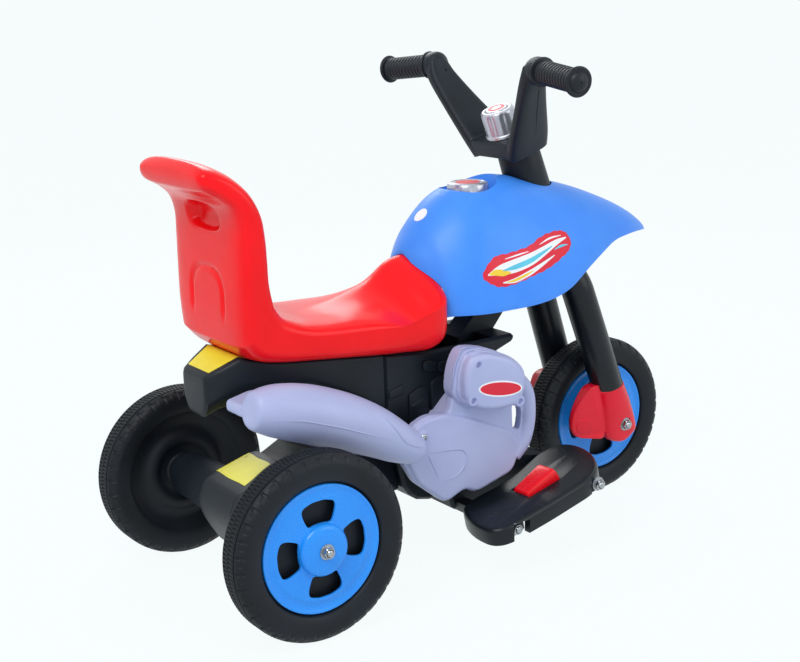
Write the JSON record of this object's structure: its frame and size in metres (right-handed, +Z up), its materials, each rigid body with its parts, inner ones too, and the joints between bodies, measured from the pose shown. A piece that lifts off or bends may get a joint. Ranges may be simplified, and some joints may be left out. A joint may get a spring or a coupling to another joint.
{
  "type": "kids ride-on motorcycle",
  "caption": "Battery ride-on motorcycle for a small child: red seat with backrest, blue tank, steered front wheel, driven rear wheel, foot pedal and sound button.",
  "frame": {"origin": "on the floor, midway between the front and rear axles", "axes": "+X forward, +Y to the rider's left, +Z up"},
  "size_m": [0.816, 0.4224, 0.6503],
  "materials": {
    "black_plastic": "satin black moulded polypropylene",
    "battery_case": "grey battery case",
    "zinc": "zinc plated steel",
    "grey_cover": "semi-gloss lilac grey moulded plastic",
    "nylon": "natural white nylon",
    "red_seat": "semi-gloss red blow-moulded polyethylene",
    "blue_shell": "semi-gloss blue blow-moulded polyethylene",
    "silver_knob": "silver painted plastic",
    "red_plastic": "glossy red moulded plastic",
    "grip_rubber": "soft black grip",
    "tyre_plastic": "matte black blow-moulded wheel",
    "blue_rim": "glossy blue moulded plastic"
  },
  "bodies": {
    "chassis": {"axle_tube": "black_plastic", "battery": "battery_case", "drive_motor": "zinc", "engine_block": "black_plastic", "front_foot_rod": "zinc", "front_rod_left_nut": "zinc", "front_rod_right_nut": "zinc", "gearbox_housing": "black_plastic", "left_engine_cover": "grey_cover", "left_footrest": "black_plastic", "lower_steering_bush": "nylon", "pedal_pin": "zinc", "rear_axle": "zinc", "rear_axle_bracket": "black_plastic", "rear_foot_rod": "zinc", "rear_left_axle_nut": "zinc", "rear_right_axle_nut": "zinc", "rear_rod_left_nut": "zinc", "rear_rod_right_nut": "zinc", "right_engine_cover": "grey_cover", "right_footrest": "black_plastic", "right_muffler": "grey_cover", "seat": "red_seat", "tail_housing": "black_plastic", "tank_shell": "blue_shell", "upper_steering_bush": "nylon"},
    "steering": {"fork": "black_plastic", "front_axle": "zinc", "front_left_axle_nut": "zinc", "front_right_axle_nut": "zinc", "front_left_wheel_spacer": "nylon", "front_right_wheel_spacer": "nylon", "handlebar": "black_plastic", "knob_housing": "silver_knob", "left_fork_shoe": "red_plastic", "left_grip": "grip_rubber", "right_fork_shoe": "red_plastic", "right_grip": "grip_rubber", "steering_neck": "black_plastic", "steering_nut": "zinc", "steering_rod": "zinc"},
    "front_wheel": {"front_wheel": "tyre_plastic", "front_left_hub_plate": "blue_rim", "front_right_hub_plate": "blue_rim"},
    "rear_right_wheel": {"rear_right_wheel": "tyre_plastic", "rear_right_hub_plate": "blue_rim", "drive_gear": "nylon"},
    "rear_left_wheel": {"rear_left_wheel": "tyre_plastic", "rear_left_hub_plate": "blue_rim"},
    "motor_pinion": {"motor_pinion": "nylon"},
    "drive_pedal": {"drive_pedal": "red_plastic"},
    "sound_button": {"sound_button": "silver_knob"},
    "tank_cap": {"tank_cap": "silver_knob"}
  },
  "joints": [
    {"name": "steering_turn", "type": "hinge", "parent": "chassis", "child": "steering", "pos_m": [0.293, 0, 0.115], "axis": [-0.3173, 0, 0.9483], "range_deg": [-35, 35]},
    {"name": "front_wheel_spin", "type": "hinge", "parent": "steering", "child": "front_wheel", "pos_m": [0.293, 0, 0.115], "axis": [0, 1, 0], "continuous": true},
    {"name": "rear_right_wheel_spin", "type": "hinge", "parent": "chassis", "child": "rear_right_wheel", "pos_m": [-0.293, -0.175, 0.115], "axis": [0, 1, 0], "continuous": true},
    {"name": "rear_left_wheel_spin", "type": "hinge", "parent": "chassis", "child": "rear_left_wheel", "pos_m": [-0.293, 0.175, 0.115], "axis": [0, 1, 0], "continuous": true},
    {"name": "pinion_spin", "type": "hinge", "parent": "chassis", "child": "motor_pinion", "pos_m": [-0.27076, -0.1365, 0.13724], "axis": [0, 1, 0], "continuous": true},
    {"name": "pedal_press", "type": "hinge", "parent": "chassis", "child": "drive_pedal", "pos_m": [0.04883, -0.13816, 0.08383], "axis": [-0.0785, 0.9969, 0], "range_deg": [0, 8], "stiffness_Nm_per_rad": 2, "springref_deg": -8.02},
    {"name": "button_press", "type": "slide", "parent": "steering", "child": "sound_button", "axis": [0.3173, 0, -0.9483], "range_m": [0, 0.003], "stiffness_N_per_m": 400, "springref_m": -0.003},
    {"name": "tank_cap_turn", "type": "hinge", "parent": "chassis", "child": "tank_cap", "pos_m": [0.072, 0, 0.4655], "axis": [0, 0, 1], "range_deg": [0, 90]}
  ],
  "couplings": [
    {"joint": "pinion_spin", "follows": "rear_right_wheel_spin", "ratio": -3.1111}
  ]
}
